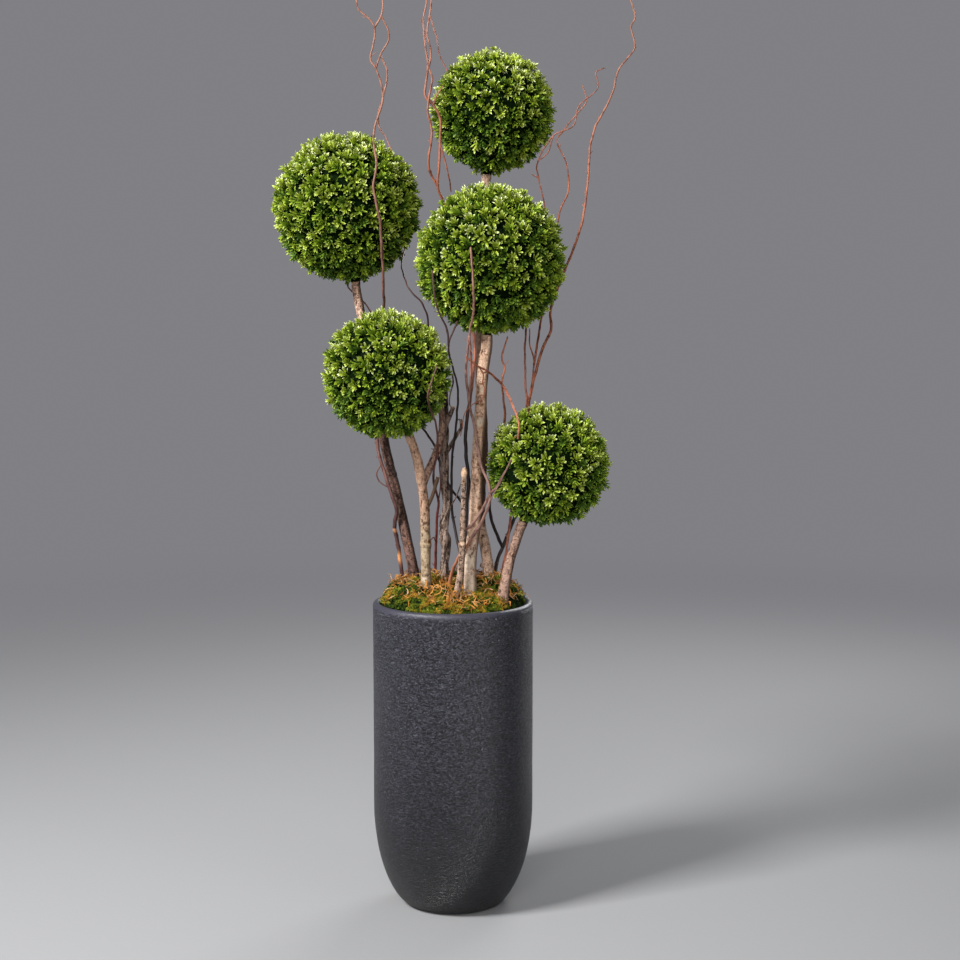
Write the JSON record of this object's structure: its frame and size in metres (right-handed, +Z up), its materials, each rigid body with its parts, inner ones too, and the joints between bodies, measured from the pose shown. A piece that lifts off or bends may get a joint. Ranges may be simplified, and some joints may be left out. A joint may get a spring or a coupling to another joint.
{
  "type": "artificial boxwood ball topiary in a tall planter",
  "caption": "Tall round planter with a moss bed, bare poles each topped by a clipped artificial boxwood ball, and curly willow twigs rising between them.",
  "frame": {"origin": "centre of the planter's flat underside, on the floor", "axes": "+Z up; the front of the plant, which the picture shows, faces -Y; +X to the viewer's right"},
  "size_m": [0.9062, 0.5776, 2.4053],
  "materials": {
    "pot": "matt charcoal glaze with a fine wrinkled texture",
    "planting_fill": "rough set foam",
    "moss_bed": "matt, fibrous",
    "pole_bark": "bark, matt",
    "vine_bark": "dark twisted bark, matt",
    "willow_bark": "thin smooth bark, satin",
    "boxwood_leaf": "moulded leaves, satin"
  },
  "bodies": {
    "root": {"pot": "pot", "planting_fill": "planting_fill", "moss_bed": "moss_bed", "trunk_top": "pole_bark", "trunk_upper_left": "pole_bark", "trunk_middle": "pole_bark", "trunk_lower_left": "pole_bark", "trunk_lower_right": "pole_bark", "bough_lower_left": "pole_bark", "vine_stem": "vine_bark", "cut_stem": "pole_bark", "willow_left": "willow_bark", "willow_centre": "willow_bark", "willow_front": "willow_bark", "willow_middle": "willow_bark", "willow_low_left": "willow_bark", "willow_far_right": "willow_bark", "willow_right": "willow_bark", "ball_top": "boxwood_leaf", "ball_upper_left": "boxwood_leaf", "ball_middle": "boxwood_leaf", "ball_lower_left": "boxwood_leaf", "ball_lower_right": "boxwood_leaf"}
  },
  "joints": []
}
